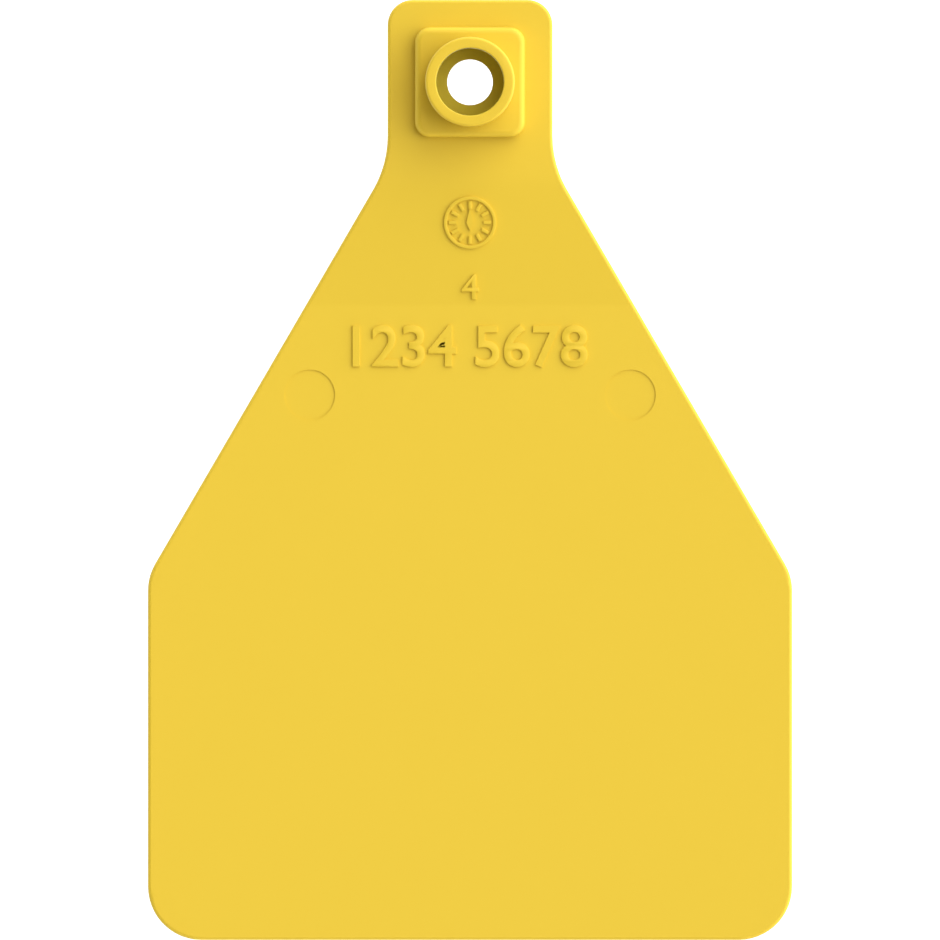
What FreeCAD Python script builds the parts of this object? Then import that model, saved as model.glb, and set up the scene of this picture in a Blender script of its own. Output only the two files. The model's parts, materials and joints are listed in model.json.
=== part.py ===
# Ear tag panel: the front half of a two-piece livestock ear tag, moulded in one shot from flexible
# polyurethane. It lies on its flat back. The back face is z = 0, +Z comes out of the front through
# the collar, the neck points to +Y, and the origin is on the stud hole's axis.
import FreeCAD, Part
import math
import os
import Sketcher

# The driving sizes, in millimetres: the cell's alias, its value, and what it measures.
SIZES = (
    ("tag_width", 76.2, "across the panel"),
    ("tag_length", 111.2, "top of the neck to the foot of the panel"),
    ("neck_width", 19.5, "across the neck"),
    ("neck_length", 19.5, "top edge to the corners where the shoulders begin"),
    ("shoulder_length", 68.15, "top edge to the corners where the shoulders meet the sides"),
    ("hole_inset", 9.75, "top edge to the stud hole's axis"),
    ("top_corner_radius", 3.0, "round of the neck's two top corners"),
    ("neck_blend_radius", 12.7, "hollow round between neck and shoulder"),
    ("shoulder_radius", 6.35, "round between shoulder and side"),
    ("foot_corner_radius", 6.35, "round of the panel's two bottom corners"),
    ("front_edge_radius", 0.42, "round along the front edge"),
    ("neck_thickness", 2.5, "neck, back face to front face"),
    ("panel_thickness", 1.3, "panel, back face to front face"),
    ("ramp_start", 10.9, "stud hole's axis to the top of the ramp"),
    ("ramp_length", 15.63, "top of the ramp to its foot, along the tag"),
    ("ramp_brow_radius", 22.0, "soft bend from the neck into the ramp"),
    ("ramp_foot_radius", 5.0, "hollow bend from the ramp into the panel"),
    ("boss_width", 13.0, "side of the square boss that stiffens the neck"),
    ("boss_height", 2.0, "boss, above the neck's front face"),
    ("boss_corner_radius", 1.8, "round of the boss's four corners"),
    ("boss_edge_radius", 0.75, "round along the boss's top edge"),
    ("collar_diameter", 10.6, "outside of the collar"),
    ("collar_height", 5.3, "collar, above the boss"),
    ("rim_radius", 0.35, "round on the outside of the collar's rim"),
    ("mouth_radius", 0.15, "round on the inside of the collar's rim"),
    ("rim_land", 0.2, "least flat left on the rim between its two rounds"),
    ("recess_diameter", 8.0, "pocket in the collar, where the stud's head springs open"),
    ("seat_height", 2.2, "back face to the shoulder that holds the stud's head"),
    ("hole_diameter", 5.4, "hole that the stud is driven through"),
    ("lead_in", 0.4, "chamfer round the hole on the back face"),
    ("mark_diameter", 6.0, "shallow circle left by an ejector pin"),
    ("mark_depth", 0.12, "ejector mark, below the panel's front face"),
    ("mark_spacing", 37.92, "between the centres of the two ejector marks"),
    ("mark_drop", 36.98, "stud hole's axis to the line of the ejector marks"),
)
# Sketch references: a line's or arc's two ends and centre, the sketch's origin and its upright axis.
START, END, CENTRE = 1, 2, 3
ORIGIN = (-1, 1)
UPRIGHT_AXIS = -2
# The collar's wall, and how much of the rim's two rounds it has room for: all, unless it is thin.
COLLAR_WALL = "(Sizes.collar_diameter - Sizes.recess_diameter) / 2"
RIM_ROOM = f"min(1; ({COLLAR_WALL} - Sizes.rim_land) / (Sizes.rim_radius + Sizes.mouth_radius))"
# A cutting sketch runs this far past the solid, so that it cuts through cleanly.
OVERRUN = 1.0
# Two places nearer than this are the same place.
NEAR = 0.01


def add_sheet(doc):
    """The spreadsheet that drives every sketch and feature."""
    sheet = doc.addObject("Spreadsheet::Sheet", "Sizes")
    for row, (alias, value, meaning) in enumerate(SIZES, start=1):
        sheet.set(f"A{row}", meaning)
        sheet.set(f"B{row}", str(value))
        sheet.setAlias(f"B{row}", alias)
    doc.recompute()
    return sheet


def origin_plane(body, role):
    """One of the body's own origin planes, such as XY_Plane."""
    return next(item for item in body.Origin.OriginFeatures if item.Role == role)


def add_sketch(body, name, role, offset=None):
    """An empty sketch on an origin plane, or lifted off it by an expression."""
    sketch = body.newObject("Sketcher::SketchObject", name)
    sketch.AttachmentSupport = (origin_plane(body, role), [""])
    sketch.MapMode = "FlatFace"
    if offset:
        sketch.setExpression("AttachmentOffset.Base.z", offset)
    return sketch


def lines(points):
    """Straight lines from each point to the next."""
    places = [FreeCAD.Vector(x, y, 0) for x, y in points]
    return [Part.LineSegment(start, end) for start, end in zip(places, places[1:])]


def draw_loop(sketch, curves, smooth_after=(), clockwise=()):
    """A closed loop of curves, smooth after those named; a clockwise arc runs from END to START."""
    sketch.addGeometry(curves)
    count = len(curves)
    first = [END if number in clockwise else START for number in range(count)]
    last = [START if number in clockwise else END for number in range(count)]
    for number in range(count):
        following = (number + 1) % count
        joint = "Tangent" if number in smooth_after else "Coincident"
        constrain(sketch, joint, number, last[number], following, first[following])


def draw_polygon(sketch, points):
    """A closed loop of straight lines; line 0 runs from the first point to the second."""
    draw_loop(sketch, lines(points + points[:1]))


def constrain(sketch, kind, *places):
    """A geometric constraint, such as Vertical or Symmetric."""
    sketch.addConstraint(Sketcher.Constraint(kind, *places))


def dimension(sketch, name, expression, kind, *places):
    """A named dimension that follows an expression."""
    value = float(sketch.evalExpression(expression))
    number = sketch.addConstraint(Sketcher.Constraint(kind, *places, value))
    sketch.renameConstraint(number, name)
    sketch.setExpression(f"Constraints.{name}", expression)


def add_feature(body, kind, name, sketch, **sizes):
    """A PartDesign feature made from a sketch, each named size following an expression."""
    feature = body.newObject(f"PartDesign::{kind}", name)
    feature.Profile = sketch
    for size, expression in sizes.items():
        feature.setExpression(size, expression)
    return feature


def edges_where(feature, test):
    """Names of the feature's edges that pass the test."""
    body_shape = feature.Shape
    numbered = enumerate(body_shape.Edges, start=1)
    return [f"Edge{number}" for number, edge in numbered if test(body_shape, edge)]


def finish_edges(body, kind, name, size, expression, test):
    """A Fillet or Chamfer on the edges of the body's last feature that pass the test."""
    base = body.Tip
    names = edges_where(base, test)
    if not names:
        raise RuntimeError(f"{name} finds no edge to finish")
    feature = body.newObject(f"PartDesign::{kind}", name)
    feature.Base = (base, names)
    feature.setExpression(size, expression)
    body.Document.recompute()


def upright_at(corners, above=-NEAR):
    """Test for the upright edges that stand on the given corners, higher than a level."""
    def test(shape, edge):
        box = edge.BoundBox
        upright = box.ZLength > NEAR and max(box.XLength, box.YLength) < NEAR
        middle = box.Center
        near = any(math.hypot(middle.x - x, middle.y - y) < NEAR for x, y in corners)
        return upright and near and box.ZMin > above - NEAR
    return test


def circle_at(radius, level):
    """Test for the full circles round the stud hole's axis, of one radius and at one level."""
    def test(shape, edge):
        box = edge.BoundBox
        flat = box.ZLength < NEAR and abs(box.ZMin - level) < NEAR
        centred = math.hypot(box.Center.x, box.Center.y) < NEAR
        return flat and centred and abs(box.XLength - 2 * radius) < NEAR
    return test


def front_outline(above):
    """Test for edges higher than a level that lie between an upright wall and a forward face."""
    def facing(face, edge):
        middle = edge.valueAt((edge.FirstParameter + edge.LastParameter) / 2)
        return face.normalAt(*face.Surface.parameter(middle)).z

    def test(shape, edge):
        if edge.BoundBox.ZMin < above - NEAR:
            return False
        slopes = sorted(facing(face, edge) for face in shape.ancestorsOfType(edge, Part.Face))
        return len(slopes) == 2 and abs(slopes[0]) < NEAR and slopes[1] > 0.9
    return test


def outline_corners(size):
    """The right-hand corners of the outline, from the top of the neck to the foot."""
    half_neck = size["neck_width"] / 2
    half_tag = size["tag_width"] / 2
    top = size["hole_inset"]
    return [
        (half_neck, top),
        (half_neck, top - size["neck_length"]),
        (half_tag, top - size["shoulder_length"]),
        (half_tag, top - size["tag_length"]),
    ]


def add_blank(body, size):
    """The full-thickness blank: a square neck, sloping shoulders and a wide panel, corners rounded."""
    right = outline_corners(size)
    left = [(-x, y) for x, y in reversed(right)]
    neck_side, shoulder, panel_side, foot, top = 0, 1, 2, 3, 7
    sketch = add_sketch(body, "OutlineSketch", "XY_Plane")
    draw_polygon(sketch, right + left)
    for line in range(4):
        constrain(sketch, "Symmetric", top - line, START, line, START, UPRIGHT_AXIS)
    constrain(sketch, "Vertical", neck_side)
    constrain(sketch, "Vertical", panel_side)
    highest = (neck_side, START)
    dimension(sketch, "NeckWidth", "Sizes.neck_width", "DistanceX", top, START, top, END)
    dimension(sketch, "TagWidth", "Sizes.tag_width", "DistanceX", foot, END, foot, START)
    dimension(sketch, "HoleInset", "Sizes.hole_inset", "DistanceY", *ORIGIN, *highest)
    dimension(sketch, "NeckLength", "Sizes.neck_length", "DistanceY", neck_side, END, *highest)
    dimension(sketch, "ShoulderLength", "Sizes.shoulder_length", "DistanceY", shoulder, END, *highest)
    dimension(sketch, "TagLength", "Sizes.tag_length", "DistanceY", panel_side, END, *highest)
    add_feature(body, "Pad", "Blank", sketch, Length="Sizes.neck_thickness")
    body.Document.recompute()

    rounds = (
        ("TopCorners", "Sizes.top_corner_radius"),
        ("NeckBlends", "Sizes.neck_blend_radius"),
        ("ShoulderRounds", "Sizes.shoulder_radius"),
        ("FootCorners", "Sizes.foot_corner_radius"),
    )
    for (name, radius), (x, y) in zip(rounds, right):
        finish_edges(body, "Fillet", name, "Radius", radius, upright_at([(x, y), (-x, y)]))


def ramp_bends(size):
    """The two arcs of the ramp's section, brow and foot, that share the straight ramp as a tangent."""
    brow_radius = size["ramp_brow_radius"]
    foot_radius = size["ramp_foot_radius"]
    brow = FreeCAD.Vector(-size["ramp_start"], size["neck_thickness"] - brow_radius, 0)
    foot = FreeCAD.Vector(brow.x - size["ramp_length"], size["panel_thickness"] + foot_radius, 0)
    apart = foot - brow
    slope = math.atan2(-apart.x, apart.y) - math.acos((brow_radius + foot_radius) / apart.Length)
    out_of_plane = FreeCAD.Vector(0, 0, 1)
    upright = math.pi / 2
    brow_circle = Part.Circle(brow, out_of_plane, brow_radius)
    foot_circle = Part.Circle(foot, out_of_plane, foot_radius)
    return (Part.ArcOfCircle(brow_circle, upright, upright + slope),
            Part.ArcOfCircle(foot_circle, -upright, -upright + slope))


def add_ramp(body, size):
    """Thins the front from the thick neck, down a long ramp, to the panel."""
    start = -size["ramp_start"]
    panel_face = size["panel_thickness"]
    past_foot = size["hole_inset"] - size["tag_length"] - OVERRUN
    above = size["neck_thickness"] + OVERRUN
    brow_arc, foot_arc = ramp_bends(size)
    top, brow_end, foot_end, foot = (
        (end.x, end.y) for end in (brow_arc.StartPoint, brow_arc.EndPoint,
                                   foot_arc.EndPoint, foot_arc.StartPoint))
    curves = lines([(start, above), top]) + [brow_arc]
    curves += lines([brow_end, foot_end]) + [foot_arc]
    curves += lines([foot, (past_foot, panel_face), (past_foot, above), (start, above)])
    rise, brow, ramp, hollow, face, end, roof = range(len(curves))
    sketch = add_sketch(body, "RampSketch", "YZ_Plane")
    draw_loop(sketch, curves, smooth_after=(brow, ramp, hollow), clockwise=(hollow,))
    constrain(sketch, "Vertical", brow, CENTRE, brow, START)
    for line in (rise, end):
        constrain(sketch, "Vertical", line)
    for line in (face, roof):
        constrain(sketch, "Horizontal", line)
    dimension(sketch, "RampStart", "Sizes.ramp_start", "DistanceX", brow, START, *ORIGIN)
    dimension(sketch, "RampLength", "Sizes.ramp_length", "DistanceX", face, START, brow, START)
    dimension(sketch, "BrowRadius", "Sizes.ramp_brow_radius", "Radius", brow)
    dimension(sketch, "FootRadius", "Sizes.ramp_foot_radius", "Radius", hollow)
    dimension(sketch, "NeckThickness", "Sizes.neck_thickness", "DistanceY", *ORIGIN, brow, START)
    dimension(sketch, "PanelThickness", "Sizes.panel_thickness", "DistanceY", *ORIGIN, face, START)
    dimension(sketch, "PastFoot", f"Sizes.tag_length - Sizes.hole_inset + {OVERRUN}",
              "DistanceX", end, START, *ORIGIN)
    dimension(sketch, "Above", f"{OVERRUN}", "DistanceY", rise, END, rise, START)
    cut = add_feature(body, "Pocket", "RampCut", sketch)
    cut.Type = "ThroughAll"
    cut.SideType = "Symmetric"
    body.Document.recompute()
    finish_edges(body, "Fillet", "FrontEdge", "Radius", "Sizes.front_edge_radius", front_outline(0))


def add_boss(body, size):
    """The low square boss that stiffens the neck round the collar."""
    half = size["boss_width"] / 2
    corners = [(half, half), (-half, half), (-half, -half), (half, -half)]
    top, left, bottom, right = 0, 1, 2, 3
    sketch = add_sketch(body, "BossSketch", "XY_Plane", "Sizes.neck_thickness")
    draw_polygon(sketch, corners)
    constrain(sketch, "Horizontal", top)
    constrain(sketch, "Vertical", left)
    constrain(sketch, "Horizontal", bottom)
    constrain(sketch, "Vertical", right)
    constrain(sketch, "Equal", top, left)
    constrain(sketch, "Symmetric", top, START, bottom, START, *ORIGIN)
    dimension(sketch, "BossWidth", "Sizes.boss_width", "DistanceX", top, END, top, START)
    add_feature(body, "Pad", "Boss", sketch, Length="Sizes.boss_height")
    body.Document.recompute()

    neck_face = size["neck_thickness"]
    boss_face = neck_face + size["boss_height"]
    finish_edges(body, "Fillet", "BossCorners", "Radius", "Sizes.boss_corner_radius",
                 upright_at(corners, above=neck_face))
    finish_edges(body, "Fillet", "BossEdge", "Radius", "Sizes.boss_edge_radius",
                 front_outline(above=boss_face))


def add_collar(body, size):
    """The round collar: its outer section, turned about the stud hole's axis."""
    radius = size["collar_diameter"] / 2
    low = size["neck_thickness"]
    high = low + size["boss_height"] + size["collar_height"]
    base, wall, rim, axis = 0, 1, 2, 3
    sketch = add_sketch(body, "CollarSketch", "XZ_Plane")
    draw_polygon(sketch, [(0, low), (radius, low), (radius, high), (0, high)])
    constrain(sketch, "Horizontal", base)
    constrain(sketch, "Vertical", wall)
    constrain(sketch, "Horizontal", rim)
    constrain(sketch, "PointOnObject", axis, START, UPRIGHT_AXIS)
    constrain(sketch, "PointOnObject", axis, END, UPRIGHT_AXIS)
    dimension(sketch, "CollarRadius", "Sizes.collar_diameter / 2", "DistanceX", base, START, base, END)
    dimension(sketch, "NeckFace", "Sizes.neck_thickness", "DistanceY", *ORIGIN, base, START)
    dimension(sketch, "Rise", "Sizes.boss_height + Sizes.collar_height",
              "DistanceY", wall, START, wall, END)
    collar = add_feature(body, "Revolution", "Collar", sketch)
    collar.ReferenceAxis = (sketch, ["V_Axis"])
    body.Document.recompute()
    finish_edges(body, "Fillet", "CollarRim", "Radius", f"Sizes.rim_radius * {RIM_ROOM}",
                 circle_at(radius, high))


def add_stud_bore(body, size):
    """The stepped bore: the stud's hole, the shoulder behind its head, and the recess in the collar."""
    hole = size["hole_diameter"] / 2
    recess = size["recess_diameter"] / 2
    seat = size["seat_height"]
    rim = size["neck_thickness"] + size["boss_height"] + size["collar_height"]
    floor, hole_wall, shoulder, recess_wall, roof, axis = 0, 1, 2, 3, 4, 5
    sketch = add_sketch(body, "StudBoreSketch", "XZ_Plane")
    draw_polygon(sketch, [(0, -OVERRUN), (hole, -OVERRUN), (hole, seat),
                          (recess, seat), (recess, rim + OVERRUN), (0, rim + OVERRUN)])
    for line in (floor, shoulder, roof):
        constrain(sketch, "Horizontal", line)
    for line in (hole_wall, recess_wall):
        constrain(sketch, "Vertical", line)
    constrain(sketch, "PointOnObject", axis, START, UPRIGHT_AXIS)
    constrain(sketch, "PointOnObject", axis, END, UPRIGHT_AXIS)
    dimension(sketch, "HoleRadius", "Sizes.hole_diameter / 2", "DistanceX", floor, START, floor, END)
    dimension(sketch, "RecessRadius", "Sizes.recess_diameter / 2", "DistanceX", roof, END, roof, START)
    dimension(sketch, "SeatHeight", "Sizes.seat_height", "DistanceY", *ORIGIN, shoulder, START)
    dimension(sketch, "Below", f"{OVERRUN}", "DistanceY", floor, START, *ORIGIN)
    dimension(sketch, "Above",
              f"Sizes.neck_thickness + Sizes.boss_height + Sizes.collar_height + {OVERRUN}",
              "DistanceY", *ORIGIN, roof, START)
    bore = add_feature(body, "Groove", "StudBore", sketch)
    bore.ReferenceAxis = (sketch, ["V_Axis"])
    body.Document.recompute()

    finish_edges(body, "Fillet", "CollarMouth", "Radius", f"Sizes.mouth_radius * {RIM_ROOM}",
                 circle_at(recess, rim))
    finish_edges(body, "Chamfer", "LeadIn", "Size", "Sizes.lead_in", circle_at(hole, 0))


def add_ejector_marks(body, size):
    """Two shallow circles on the panel, where ejector pins push the tag off its mould."""
    across = size["mark_spacing"] / 2
    centre = FreeCAD.Vector(across, -size["mark_drop"], 0)
    sketch = add_sketch(body, "EjectorMarkSketch", "XY_Plane", "Sizes.panel_thickness")
    sketch.addGeometry(Part.Circle(centre, FreeCAD.Vector(0, 0, 1), size["mark_diameter"] / 2))
    dimension(sketch, "MarkDiameter", "Sizes.mark_diameter", "Diameter", 0)
    dimension(sketch, "MarkAcross", "Sizes.mark_spacing / 2", "DistanceX", *ORIGIN, 0, CENTRE)
    dimension(sketch, "MarkDrop", "Sizes.mark_drop", "DistanceY", 0, CENTRE, *ORIGIN)
    mark = add_feature(body, "Pocket", "EjectorMark", sketch, Length="Sizes.mark_depth")
    twin = body.newObject("PartDesign::Mirrored", "EjectorMarkTwin")
    twin.Originals = [mark]
    twin.MirrorPlane = (origin_plane(body, "YZ_Plane"), [""])
    body.Tip = twin
    body.Document.recompute()


def check(doc):
    """Stops the build where a feature failed, or where a cut took nothing away."""
    for item in doc.Objects:
        if "Invalid" in item.State or "Error" in item.State:
            raise RuntimeError(f"{item.Label} failed: {item.State}")
        if item.isDerivedFrom("PartDesign::FeatureSubtractive"):
            if item.Shape.Volume > item.BaseFeature.Shape.Volume - NEAR:
                raise RuntimeError(f"{item.Label} cuts nothing")
        if item.isDerivedFrom("PartDesign::Body"):
            shape = item.Shape
            if shape.isNull() or not shape.isValid() or len(shape.Solids) != 1:
                raise RuntimeError(f"{item.Label} isn't one sound solid")


def build():
    doc = FreeCAD.newDocument("EarTag")
    sheet = add_sheet(doc)
    size = {alias: float(sheet.get(alias)) for alias, value, meaning in SIZES}
    body = doc.addObject("PartDesign::Body", "TagPanel")
    body.Label = "tag_panel"
    body.Placement = FreeCAD.Placement()
    add_blank(body, size)
    add_ramp(body, size)
    add_boss(body, size)
    add_collar(body, size)
    add_stud_bore(body, size)
    add_ejector_marks(body, size)
    doc.recompute()
    check(doc)
    os.makedirs("parts", exist_ok=True)
    body.Shape.exportStep(f"parts/{body.Label}.step")
    box = body.Shape.optimalBoundingBox()
    print(f"{body.Label}: {box.XLength:.2f} x {box.YLength:.2f} x {box.ZLength:.2f} mm,"
          f" {body.Shape.Volume / 1000:.2f} cm3, {len(body.Shape.Faces)} faces")


build()
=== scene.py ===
# %% [markdown]
# # A livestock ear tag, finished for the camera
# The tag is a single moulding of flexible polyurethane: a wide thin panel that the farmer writes on,
# a narrow neck, and a stiff boss with a collar that the button's stud locks into. The solid comes
# ready-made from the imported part. This script gives it a smooth skin, a moulded finish and the small
# raised marks of its mould, and then lays it on a lit table under a soft light.
#
# Everything is in metres. The origin is on the stud hole's axis, at the back face; +Z comes out of
# the front and +Y points to the top of the neck.

import json
import math

import bmesh
import bpy
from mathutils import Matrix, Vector


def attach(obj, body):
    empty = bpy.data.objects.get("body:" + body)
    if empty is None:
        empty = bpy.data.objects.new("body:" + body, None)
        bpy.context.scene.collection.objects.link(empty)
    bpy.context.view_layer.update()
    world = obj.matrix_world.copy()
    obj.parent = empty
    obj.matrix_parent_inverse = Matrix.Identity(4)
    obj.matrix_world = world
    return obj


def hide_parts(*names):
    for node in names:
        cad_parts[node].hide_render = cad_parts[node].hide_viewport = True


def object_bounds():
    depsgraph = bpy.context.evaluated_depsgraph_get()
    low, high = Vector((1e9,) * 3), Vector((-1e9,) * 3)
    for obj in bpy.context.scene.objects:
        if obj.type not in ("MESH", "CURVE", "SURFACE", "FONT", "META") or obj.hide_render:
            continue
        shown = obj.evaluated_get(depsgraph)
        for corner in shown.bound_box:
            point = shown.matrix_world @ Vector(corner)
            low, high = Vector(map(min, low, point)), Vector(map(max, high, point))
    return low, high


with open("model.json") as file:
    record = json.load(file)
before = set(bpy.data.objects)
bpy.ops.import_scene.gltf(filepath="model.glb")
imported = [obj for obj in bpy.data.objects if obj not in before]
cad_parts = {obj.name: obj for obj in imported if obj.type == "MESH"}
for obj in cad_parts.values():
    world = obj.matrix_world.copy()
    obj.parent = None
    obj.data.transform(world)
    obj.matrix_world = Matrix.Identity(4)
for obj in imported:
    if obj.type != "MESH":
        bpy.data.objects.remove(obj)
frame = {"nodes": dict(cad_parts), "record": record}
cad_low, cad_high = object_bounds()
solid = frame["nodes"]["tag_panel"]
print("tag", [round(1000 * side, 2) for side in cad_high - cad_low], "mm")

# %% [markdown]
# ## Node trees as plain Python
# A material and a Geometry Nodes tree are both graphs of nodes joined by wires. Clicking them
# together is fine once, but a script reads better when a graph looks like arithmetic. `Wire` stands
# for one output socket, and sums on it add Math nodes. `Graph.add` makes any other node from its
# type, its settings and the values or wires of its inputs, found by socket identifier.

# %% A small helper for node trees
class Wire:
    """One output socket. Arithmetic on it adds Math nodes to its graph."""

    def __init__(self, graph, socket):
        self.graph = graph
        self.socket = socket

    def also(self, output):
        """Another output of the same node."""
        sockets = {socket.identifier: socket for socket in self.socket.node.outputs}
        return Wire(self.graph, sockets[output])

    def sum_up(self, operation, first, second):
        terms = {"Value": first, "Value_001": second}
        return self.graph.add("ShaderNodeMath", {"operation": operation}, terms)

    def __add__(self, other):
        return self.sum_up("ADD", self, other)

    __radd__ = __add__

    def __sub__(self, other):
        return self.sum_up("SUBTRACT", self, other)

    def __rsub__(self, other):
        return self.sum_up("SUBTRACT", other, self)

    def __mul__(self, other):
        return self.sum_up("MULTIPLY", self, other)

    __rmul__ = __mul__

    def __truediv__(self, other):
        return self.sum_up("DIVIDE", self, other)

    def __rtruediv__(self, other):
        return self.sum_up("DIVIDE", other, self)


class Graph:
    """A node tree that is built by adding nodes to it."""

    def __init__(self, tree):
        self.tree = tree

    def add(self, kind, settings=None, inputs=None):
        """A new node; gives its first output as a Wire."""
        node = self.tree.nodes.new(kind)
        for name, value in (settings or {}).items():
            setattr(node, name, value)
        sockets = {socket.identifier: socket for socket in node.inputs}
        for name, value in (inputs or {}).items():
            if isinstance(value, Wire):
                self.tree.links.new(value.socket, sockets[name])
            else:
                sockets[name].default_value = value
        shown = [socket for socket in node.outputs if socket.enabled]
        return Wire(self, shown[0]) if shown else None


# %% [markdown]
# ## The finish: satin moulded polyurethane
# Ear tag polyurethane is coloured right through, so nothing is painted and nothing chips. Three
# things still vary over a real tag. The pigment isn't mixed perfectly, so the yellow drifts by about
# a hundredth from one centimetre to the next. The melt cools as it runs down the panel, so the gloss
# has long faint streaks along the tag. And the mould was spark-eroded, which leaves a grain of pits
# a quarter of a millimetre across and a few microns deep, and that is what makes it satin, not glossy.
# Two places are given a painted tone. The rounded edges get a paler yellow, a painted highlight for the
# bright lines that the rounds catch. The deep recess gets a darker, duller yellow, painted shade for
# the shade that falls inside it.
#
# An image could carry all this, but noise in the object's own coordinates has no seams and no
# resolution. The edges are found from the surface's own slope: they are the only places where it
# leans by about half a right angle. The recess is found by its distance from the hole's axis and its
# height above the shoulder, both taken from the part's own record, so it can't miss. The numbers
# that are the same all over stay on the shader.

# %% Moulded polyurethane
YELLOW = (0.694, 0.514, 0.039, 1.0)
YELLOW_DRIFT = (0.687, 0.508, 0.038, 1.0)
# Painted highlight: a paler yellow for the rounded edges, standing in for the bright lines they catch.
PAINTED_EDGE_HIGHLIGHT = (0.765, 0.570, 0.047, 1.0)
# Painted shade: a darker, duller yellow for the deep recess, standing in for the shade that falls
# there.
PAINTED_RECESS_SHADE = (0.611, 0.517, 0.042, 1.0)
MIXING_SCALE = 90.0
STREAK_STRETCH = (420.0, 26.0, 420.0)
SATIN = 0.46
STREAK_GLOSS = 0.07
GRAIN_SCALE = 4200.0
GRAIN_DEPTH = 2.5e-6
TINT_FADE = 0.0001
REFRACTION = 1.5
SHINE = 0.25

recess = next(mount for mount in frame["record"]["mounts"] if mount["name"] == "head_recess")
RECESS_RADIUS = recess["dims"]["r_mm"] / 1000
SEAT_LEVEL = recess["pos_m"][2] - recess["dims"]["length_mm"] / 2000


def fade(graph, value, start, end):
    """0 where the value is at its start, 1 where it is at its end, and eased between them."""
    return graph.add("ShaderNodeMapRange", {"interpolation_type": "SMOOTHSTEP"}, {
        "Value": value, "From Min": start, "From Max": end})


def moulded_polyurethane(name):
    """The tag's one material, read from Object coordinates."""
    material = bpy.data.materials.new(name)
    material.use_nodes = True
    graph = Graph(material.node_tree)
    material.node_tree.nodes.clear()
    place = graph.add("ShaderNodeTexCoord").also("Object")

    mixing = graph.add("ShaderNodeTexNoise", {}, {
        "Vector": place, "Scale": MIXING_SCALE, "Detail": 3.0, "Roughness": 0.55})
    colour = graph.add("ShaderNodeMix", {"data_type": "RGBA"}, {
        "Factor_Float": mixing, "A_Color": YELLOW, "B_Color": YELLOW_DRIFT})

    lean = graph.add("ShaderNodeSeparateXYZ", {}, {
        "Vector": graph.add("ShaderNodeNewGeometry").also("Normal")}).also("Z")
    upright = lean * lean
    # This product is 0 on flats and on upright walls, and 1 half way between them.
    half_leaning = 4.0 * upright * (1.0 - upright)
    # Painted highlight: where the surface leans by about half a right angle, the rounds take the paler
    # colour.
    colour = graph.add("ShaderNodeMix", {"data_type": "RGBA"}, {
        "Factor_Float": half_leaning * half_leaning, "A_Color": colour, "B_Color": PAINTED_EDGE_HIGHLIGHT})

    spot = graph.add("ShaderNodeSeparateXYZ", {}, {"Vector": place})
    across = graph.add("ShaderNodeCombineXYZ", {}, {"X": spot, "Y": spot.also("Y")})
    from_axis = graph.add("ShaderNodeVectorMath", {"operation": "LENGTH"}, {
        "Vector": across}).also("Value")
    # Painted shade: inside the hole's radius and above the shoulder, the recess takes the darker
    # colour.
    inside = fade(graph, from_axis, RECESS_RADIUS + TINT_FADE, RECESS_RADIUS)
    above = fade(graph, spot.also("Z"), SEAT_LEVEL - TINT_FADE, SEAT_LEVEL)
    colour = graph.add("ShaderNodeMix", {"data_type": "RGBA"}, {
        "Factor_Float": inside * above, "A_Color": colour, "B_Color": PAINTED_RECESS_SHADE})

    along = graph.add("ShaderNodeMapping", {}, {"Vector": place, "Scale": STREAK_STRETCH})
    streaks = graph.add("ShaderNodeTexNoise", {}, {"Vector": along, "Scale": 1.0, "Detail": 4.0})
    roughness = SATIN + STREAK_GLOSS * (streaks - 0.5)

    grain = graph.add("ShaderNodeTexNoise", {}, {
        "Vector": place, "Scale": GRAIN_SCALE, "Detail": 2.0, "Roughness": 0.6})
    surface = graph.add("ShaderNodeBump", {}, {
        "Strength": 1.0, "Distance": GRAIN_DEPTH, "Height": grain})

    shader = graph.add("ShaderNodeBsdfPrincipled", {}, {
        "Base Color": colour, "Roughness": roughness, "Normal": surface,
        "IOR": REFRACTION, "Specular IOR Level": SHINE})
    graph.add("ShaderNodeOutputMaterial", {}, {"Surface": shader})
    return material


polyurethane = moulded_polyurethane("moulded_polyurethane")
print("finish", polyurethane.name, "with", len(polyurethane.node_tree.nodes), "nodes")

# %% [markdown]
# ## The skin
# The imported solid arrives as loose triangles, so each one would catch the light by itself. The skin
# is a copy whose shared corners are merged, so that shading can run across them. The rounds should
# look soft and the flats dead flat: corners sharper than a set angle stay crisp, and normals are
# weighted by face area, so a wide flat face keeps its own direction and the narrow round beside it
# does all the turning. Modelling it again in Blender would risk a second, slightly different shape.

# %% Skin the tag
MERGE_GAP = 1e-7
CRISP_ANGLE = math.radians(38)


def plain_mesh(made, name):
    """The evaluated object as a plain mesh, in place of the object and its modifiers."""
    graph = bpy.context.evaluated_depsgraph_get()
    mesh = bpy.data.meshes.new_from_object(made.evaluated_get(graph), depsgraph=graph)
    bpy.data.objects.remove(made)
    mesh.name = name
    piece = bpy.data.objects.new(name, mesh)
    bpy.context.scene.collection.objects.link(piece)
    return piece


def soften(mesh, crisp):
    """Merges doubles, then shades smooth everywhere but across corners sharper than an angle."""
    work = bmesh.new()
    work.from_mesh(mesh)
    bmesh.ops.remove_doubles(work, verts=work.verts, dist=MERGE_GAP)
    for face in work.faces:
        face.smooth = True
    for edge in work.edges:
        edge.smooth = edge.calc_face_angle(0.0) < crisp
    work.to_mesh(mesh)
    open_edges = sum(not edge.is_manifold for edge in work.edges)
    work.free()
    return open_edges


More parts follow.
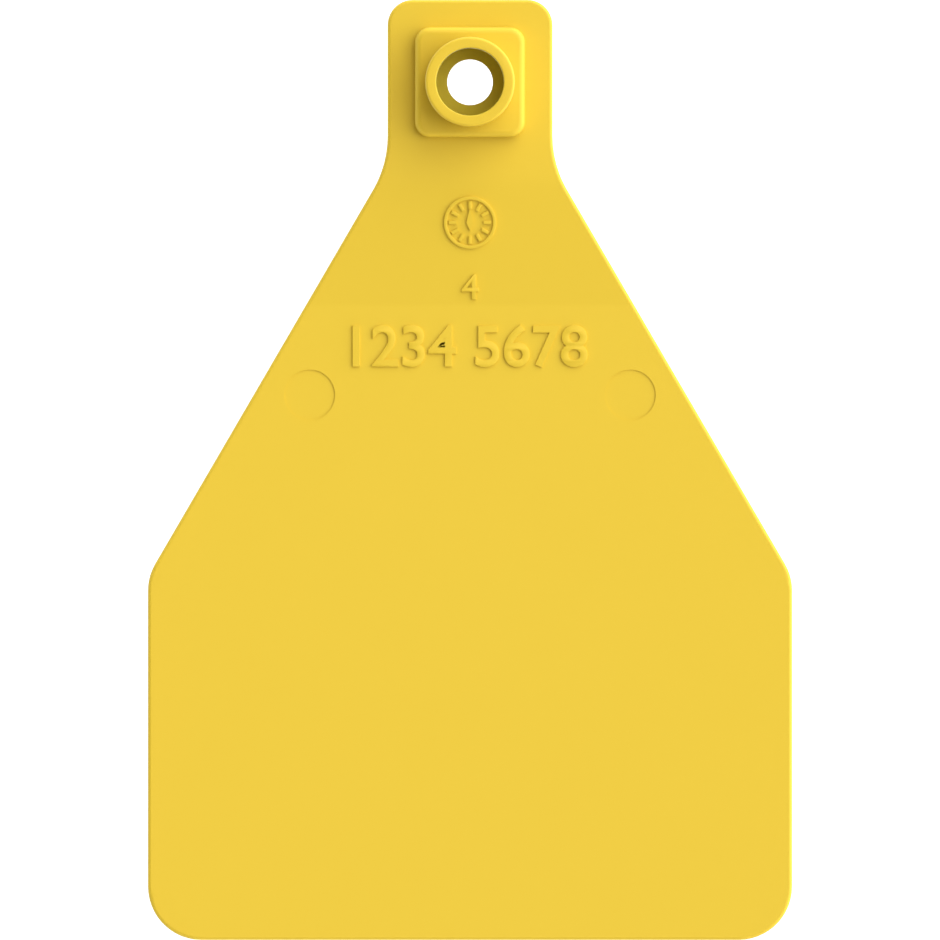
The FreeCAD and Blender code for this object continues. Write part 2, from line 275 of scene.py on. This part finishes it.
def even_shading(made, name):
    """Gives an object soft rounds and dead flat faces, and makes it a plain mesh."""
    open_edges = soften(made.data, CRISP_ANGLE)
    even = made.modifiers.new("even_flats", "WEIGHTED_NORMAL")
    even.keep_sharp = True
    piece = plain_mesh(made, name)
    print(name, len(piece.data.polygons), "faces,", open_edges, "open edges")
    return piece


def skin(source, name, material):
    """A smooth-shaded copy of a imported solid."""
    copy = bpy.data.objects.new(name, source.data.copy())
    bpy.context.scene.collection.objects.link(copy)
    piece = even_shading(copy, name)
    piece.data.materials.clear()
    piece.data.materials.append(material)
    return piece


tag_skin = skin(solid, "tag_skin", polyurethane)

# %% [markdown]
# ## Where the raised marks go
# Mould makers engrave shallow marks in the cavity, and on the tag they stand out by about a quarter
# of a millimetre: a row of sample numbers across the top of the panel, and above it, on the ramp that
# leads up to the neck, the cavity's number and a dial. The ramp slopes, so a mark that is modelled
# flat would sink at one end and float at the other. One Geometry Nodes tree cures that for every
# mark: each point looks straight down, finds the tag below it and is lifted by that height. It sinks
# a little first, so that no gap shows under its edge.

# %% A tree that lays a mark on the tag
RELIEF = 0.00026
SINK = 0.00008
MARK_HEIGHT = RELIEF + SINK
MARK_ROUND = 0.00004
HEADROOM = 0.005
LOOK_DOWN_FROM = cad_high.z + HEADROOM


def new_tree(name, numbers):
    """A Geometry Nodes tree with a geometry in and out, and the named numbers as inputs."""
    tree = bpy.data.node_groups.new(name, "GeometryNodeTree")
    tree.interface.new_socket("Geometry", in_out="OUTPUT", socket_type="NodeSocketGeometry")
    tree.interface.new_socket("Geometry", in_out="INPUT", socket_type="NodeSocketGeometry")
    for label, kind in numbers.items():
        tree.interface.new_socket(label, in_out="INPUT", socket_type="NodeSocket" + kind)
    graph = Graph(tree)
    entry = graph.add("NodeGroupInput")
    inputs = {socket.name: Wire(graph, socket) for socket in entry.socket.node.outputs if socket.name}
    return graph, inputs


def finish_tree(graph, geometry, material):
    """Ends a tree as plain geometry in one material."""
    real = graph.add("GeometryNodeRealizeInstances", {}, {"Geometry": geometry})
    dressed = graph.add("GeometryNodeSetMaterial", {}, {"Geometry": real, "Material": material})
    exit_node = graph.tree.nodes.new("NodeGroupOutput")
    graph.tree.links.new(dressed.socket, exit_node.inputs[0])
    return graph.tree


def run_tree(made, tree, values):
    """Gives an object the tree as a modifier, its inputs set by identifier."""
    modifier = made.modifiers.new(tree.name, "NODES")
    modifier.node_group = tree
    named = {item.name: item.identifier for item in tree.interface.items_tree
             if item.in_out == "INPUT"}
    for label, value in values.items():
        modifier[named[label]] = value


def laying_tree(material):
    """Lowers every point of a flat mark on to the face of the tag below it."""
    graph, given = new_tree("lay_on_tag", {"Tag": "Object", "From": "Float", "Sink": "Float"})
    face = graph.add("GeometryNodeObjectInfo", {"transform_space": "ORIGINAL"},
                     {"Object": given["Tag"]}).also("Geometry")
    place = graph.add("GeometryNodeInputPosition")
    across = graph.add("ShaderNodeSeparateXYZ", {}, {"Vector": place})
    eye = graph.add("ShaderNodeCombineXYZ", {}, {
        "X": across, "Y": across.also("Y"), "Z": given["From"]})
    looked = graph.add("GeometryNodeRaycast", {"data_type": "FLOAT"}, {
        "Target Geometry": face, "Source Position": eye,
        "Ray Direction": (0.0, 0.0, -1.0), "Ray Length": 1.0})
    drop = looked.also("Hit Distance")
    height = given["From"] - drop - given["Sink"] + across.also("Z")
    laid = graph.add("ShaderNodeCombineXYZ", {}, {"X": across, "Y": across.also("Y"), "Z": height})
    moved = graph.add("GeometryNodeSetPosition", {}, {
        "Geometry": given["Geometry"], "Position": laid})
    return finish_tree(graph, moved, material)


lay_on_tag = laying_tree(polyurethane)


def lay(made, name):
    """Lays a flat mark on the tag and makes it a finished piece."""
    run_tree(made, lay_on_tag, {"Tag": tag_skin, "From": LOOK_DOWN_FROM, "Sink": SINK})
    piece = plain_mesh(made, name)
    low = min(corner.co.z for corner in piece.data.vertices)
    high = max(corner.co.z for corner in piece.data.vertices)
    print(name, len(piece.data.polygons), "faces, z", round(1000 * low, 3), "to", round(1000 * high, 3))
    return piece


# %% [markdown]
# ## The numbers
# A tag is sold with a number moulded or printed on it; here they are plain placeholders. A text
# object is the natural start, because its outlines are true curves: extruding it gives the walls and
# its bevel gives the slight round that a cutter leaves. The bevel grows outwards, so the outline is
# drawn in by as much first. The text becomes a mesh before it is put in place, its doubles are merged
# so that each figure is a closed solid, and then it is laid on the tag.

# %% Raised numbers
FIGURE_STEPS = 6
# How far the outline is moved out, in heights of the text.
TEXT_BOLD = 0.014


def raised_text(words, width, centre):
    """Solid figures of one relief, as wide as told, with their middle at a point of the tag."""
    curve = bpy.data.curves.new("figures", "FONT")
    curve.body = words
    curve.size = 1.0
    curve.resolution_u = FIGURE_STEPS
    flat = bpy.data.objects.new("figures", curve)
    bpy.context.scene.collection.objects.link(flat)
    bpy.context.view_layer.update()
    scale = width / flat.dimensions.x
    curve.bevel_depth = MARK_ROUND / scale
    curve.bevel_resolution = 1
    curve.extrude = MARK_HEIGHT / 2 / scale - curve.bevel_depth
    curve.offset = TEXT_BOLD - curve.bevel_depth
    figures = plain_mesh(flat, "figures")
    across = [corner.co.x for corner in figures.data.vertices]
    along = [corner.co.y for corner in figures.data.vertices]
    middle = Vector(((min(across) + max(across)) / 2, (min(along) + max(along)) / 2, 0.0))
    for corner in figures.data.vertices:
        corner.co = (corner.co - middle) * scale + centre
        corner.co.z += MARK_HEIGHT / 2
    return figures


def close_up(mesh):
    """Merges doubles and turns all faces outwards."""
    work = bmesh.new()
    work.from_mesh(mesh)
    bmesh.ops.remove_doubles(work, verts=work.verts, dist=MERGE_GAP)
    bmesh.ops.recalc_face_normals(work, faces=work.faces)
    work.to_mesh(mesh)
    work.free()


NUMBERS_WIDTH = 0.0276
NUMBERS_DROP = 0.0312
CAVITY_WIDTH = 0.0019
CAVITY_DROP = 0.0242

numbers = raised_text("1234 5678", NUMBERS_WIDTH, Vector((0.0, -NUMBERS_DROP, 0.0)))
close_up(numbers.data)
numbers = lay(numbers, "raised_numbers")
cavity = raised_text("4", CAVITY_WIDTH, Vector((0.0, -CAVITY_DROP, 0.0)))
close_up(cavity.data)
cavity = lay(cavity, "cavity_number")

# %% [markdown]
# ## The mould dial
# Moulders fit a small dial insert to show when a shot was made: a ring, a division for each month
# and a pointer. The divisions repeat round a circle, so Geometry Nodes makes them: one bar is
# instanced on the points of a circle, each turned to face the middle. The ring and the bars are one
# small section, with its corners rounded, swept along a circle and along a short line.

# %% Dial tree
RING_STEPS = 96
ROUND_STEPS = 2
POINTER_LINES = 2.2
POINTER_TAIL = 0.35


def join(graph, first, *others):
    """Several geometries as one."""
    joined = graph.add("GeometryNodeJoinGeometry", {}, {"Geometry": first})
    for other in others:
        graph.tree.links.new(other.socket, joined.socket.node.inputs["Geometry"])
    return joined


def plate_from(graph, outline, height):
    """A closed flat plate from a closed curve: filled, raised, and shut underneath."""
    top = graph.add("GeometryNodeFillCurve", {"mode": "NGONS"}, {"Curve": outline})
    raised = graph.add("GeometryNodeExtrudeMesh", {"mode": "FACES"}, {
        "Mesh": top, "Offset": (0.0, 0.0, 1.0), "Offset Scale": height, "Individual": False})
    under = graph.add("GeometryNodeFlipFaces", {}, {"Mesh": top})
    return graph.add("GeometryNodeMergeByDistance", {}, {
        "Geometry": join(graph, raised, under), "Distance": MERGE_GAP})


def dial_tree(material):
    """A ring, evenly spaced divisions inside it, and a pointer in the middle."""
    graph, given = new_tree("mould_dial", {
        "Radius": "Float", "Line": "Float", "Divisions": "Int",
        "Division Length": "Float", "Pointer Length": "Float", "Height": "Float", "Round": "Float"})
    line, height, length = given["Line"], given["Height"], given["Division Length"]

    circle = graph.add("GeometryNodeCurvePrimitiveCircle", {}, {
        "Resolution": RING_STEPS, "Radius": given["Radius"]})
    block = graph.add("GeometryNodeCurvePrimitiveQuadrilateral", {"mode": "RECTANGLE"}, {
        "Width": line, "Height": height})
    profile = graph.add("GeometryNodeFilletCurve", {"mode": "POLY"}, {
        "Curve": block, "Count": ROUND_STEPS, "Radius": given["Round"]})
    ring = graph.add("GeometryNodeCurveToMesh", {}, {"Curve": circle, "Profile Curve": profile})
    lift = graph.add("ShaderNodeCombineXYZ", {}, {"Z": height * 0.5})
    ring = graph.add("GeometryNodeTransform", {}, {"Geometry": ring, "Translation": lift})

    reach = graph.add("ShaderNodeCombineXYZ", {}, {"X": length})
    short_line = graph.add("GeometryNodeCurvePrimitiveLine", {}, {"End": reach})
    bar = graph.add("GeometryNodeCurveToMesh", {}, {
        "Curve": short_line, "Profile Curve": profile, "Fill Caps": True})
    places = graph.add("GeometryNodeMeshCircle", {}, {
        "Vertices": given["Divisions"], "Radius": given["Radius"] - line - length})
    step = 2.0 * math.pi / given["Divisions"] * graph.add("GeometryNodeInputIndex")
    turn = graph.add("ShaderNodeCombineXYZ", {}, {"Z": step})
    bars = graph.add("GeometryNodeInstanceOnPoints", {}, {
        "Points": places, "Instance": bar, "Rotation": turn})
    bars = graph.add("GeometryNodeTransform", {}, {"Geometry": bars, "Translation": lift})

    kite = graph.add("GeometryNodeCurvePrimitiveQuadrilateral", {"mode": "KITE"}, {
        "Width": line * POINTER_LINES,
        "Bottom Height": given["Pointer Length"] * POINTER_TAIL,
        "Top Height": given["Pointer Length"] * (1.0 - POINTER_TAIL)})
    pointer = plate_from(graph, kite, height)

    return finish_tree(graph, join(graph, ring, bars, pointer), material)


# %% Make the dial
DIAL_DROP = 0.0166
DIAL_RADIUS = 0.0029
DIAL_LINE = 0.0004
DIVISIONS = 12
DIVISION_LENGTH = 0.0009
POINTER_LENGTH = 0.0028


def empty_mesh(name):
    """An object with nothing in it, for a tree that makes everything itself."""
    made = bpy.data.objects.new(name, bpy.data.meshes.new(name))
    bpy.context.scene.collection.objects.link(made)
    return made


dial = empty_mesh("dial_blank")
run_tree(dial, dial_tree(polyurethane), {
    "Radius": DIAL_RADIUS, "Line": DIAL_LINE, "Divisions": DIVISIONS,
    "Division Length": DIVISION_LENGTH, "Pointer Length": POINTER_LENGTH,
    "Height": MARK_HEIGHT, "Round": MARK_ROUND})
dial = plain_mesh(dial, "dial_flat")
for corner in dial.data.vertices:
    corner.co.y -= DIAL_DROP
close_up(dial.data)
dial = lay(dial, "mould_dial")

# %% [markdown]
# ## Shading the marks
# The marks' rounds are only a twenty-fifth of a millimetre, but they catch the light as a fine line,
# which is what makes shallow relief readable at all. They are shaded in the same way as the skin, so
# that the rounds turn softly and the tops stay flat.

# %% Shade the marks
numbers, cavity, dial = [even_shading(mark, mark.name) for mark in (numbers, cavity, dial)]

# %% [markdown]
# ## Attach the pieces
# Nothing on the tag moves, so every piece rides on the one body. The skin stands in for the packed
# solid, which is hidden, and all the pieces take the same finish.

# %% Ride and replace
pieces = (tag_skin, numbers, cavity, dial)
for piece in pieces:
    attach(piece, "root")
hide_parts("tag_panel")
print(len(pieces), "pieces,", sum(len(piece.data.polygons) for piece in pieces), "faces")

# %% [markdown]
# ## A lit table
# Small goods are often shown on a table that glows white from below, so no shadow is left around
# them and every hole reads as white. An emissive plane does it. It lies just under the tag's flat
# back, and it lights the tag's side walls as the real table does.

# %% Floor
FLOOR_RADIUS = 3.0
FLOOR_SIDES = 96
FLOOR_GAP = 0.00002
TABLE_GLOW = 1.5


def lit_table():
    """A wide white disc that glows."""
    material = bpy.data.materials.new("lit_table")
    material.use_nodes = True
    material.node_tree.nodes.clear()
    graph = Graph(material.node_tree)
    glow = graph.add("ShaderNodeEmission", {}, {
        "Color": (1.0, 1.0, 1.0, 1.0), "Strength": TABLE_GLOW})
    graph.add("ShaderNodeOutputMaterial", {}, {"Surface": glow})

    work = bmesh.new()
    bmesh.ops.create_circle(work, cap_ends=True, segments=FLOOR_SIDES, radius=FLOOR_RADIUS)
    bmesh.ops.translate(work, verts=work.verts, vec=(0.0, 0.0, cad_low.z - FLOOR_GAP))
    mesh = bpy.data.meshes.new("floor")
    work.to_mesh(mesh)
    work.free()
    mesh.materials.append(material)
    floor = bpy.data.objects.new("floor", mesh)
    bpy.context.scene.collection.objects.link(floor)
    return floor


lit_table()
print("table", FLOOR_RADIUS, "m in radius")

# %% [markdown]
# ## Light
# The table stands in a white tent. A tent is dark overhead, where the camera looks in, and brighter
# on the side where its lamp stands, so its glow is one plain slope: a middle brightness plus a
# share of the direction looked in. A broad, fairly low key light from the same side gives each edge
# a bright side and a dark side. A sun lamp with a wide angle is the simplest soft light, because it
# is equally strong everywhere, whatever the tag's size. `KEY_FROM` points to it, and its length is
# the key's strength beside the tent's. Both lights are a little warmer than the table.

# %% Tent and key light
LAMP_COLOUR = (1.0, 0.93, 0.88)
TENT_GLOW = 1.23
TENT_SLOPE = (0.37, 0.02, -0.72)
KEY_FROM = Vector((0.568, 0.378, 0.518))
KEY_SPREAD = math.radians(89)


def white_tent():
    """A white surround whose brightness slopes across the sky."""
    world = bpy.data.worlds.new("tent")
    world.use_nodes = True
    world.node_tree.nodes.clear()
    graph = Graph(world.node_tree)
    direction = graph.add("ShaderNodeTexCoord").also("Generated")
    slope = graph.add("ShaderNodeVectorMath", {"operation": "DOT_PRODUCT"}, {
        "Vector": direction, "Vector_001": TENT_SLOPE}).also("Value")
    glow = graph.add("ShaderNodeBackground", {}, {
        "Color": (*LAMP_COLOUR, 1.0), "Strength": TENT_GLOW * (1.0 + slope)})
    graph.add("ShaderNodeOutputWorld", {}, {"Surface": glow})
    return world


bpy.context.scene.world = white_tent()
key = bpy.data.lights.new("key", "SUN")
key.color = LAMP_COLOUR
key.energy = math.pi * TENT_GLOW * KEY_FROM.length
key.angle = KEY_SPREAD
key_light = bpy.data.objects.new("key", key)
key_light.rotation_euler = KEY_FROM.to_track_quat("Z", "Y").to_euler()
bpy.context.scene.collection.objects.link(key_light)
bpy.context.scene.view_settings.view_transform = "Standard"
print("key light from", [round(part, 2) for part in KEY_FROM.normalized()])

# %% [markdown]
# ## Camera
# The tag is looked at from straight above, so that its outline is true. A very long lens from far
# away removes the perspective that would lean the tall collar outwards, and the tag's length fills
# the picture: `FIELD` is how much of that length the picture holds.

# %% Camera
LENS = 1600.0
FIELD = 0.9997
FACE_HEIGHT = 0.0013
camera = bpy.data.cameras.new("camera")
camera.lens = LENS
middle = (cad_low + cad_high) / 2
distance = FIELD * (cad_high.y - cad_low.y) * LENS / camera.sensor_width
camera.clip_end = 2 * distance
viewer = bpy.data.objects.new("camera", camera)
viewer.location = (middle.x, middle.y, FACE_HEIGHT + distance)
bpy.context.scene.collection.objects.link(viewer)
bpy.context.scene.camera = viewer
print("camera", round(distance, 2), "m above the tag")
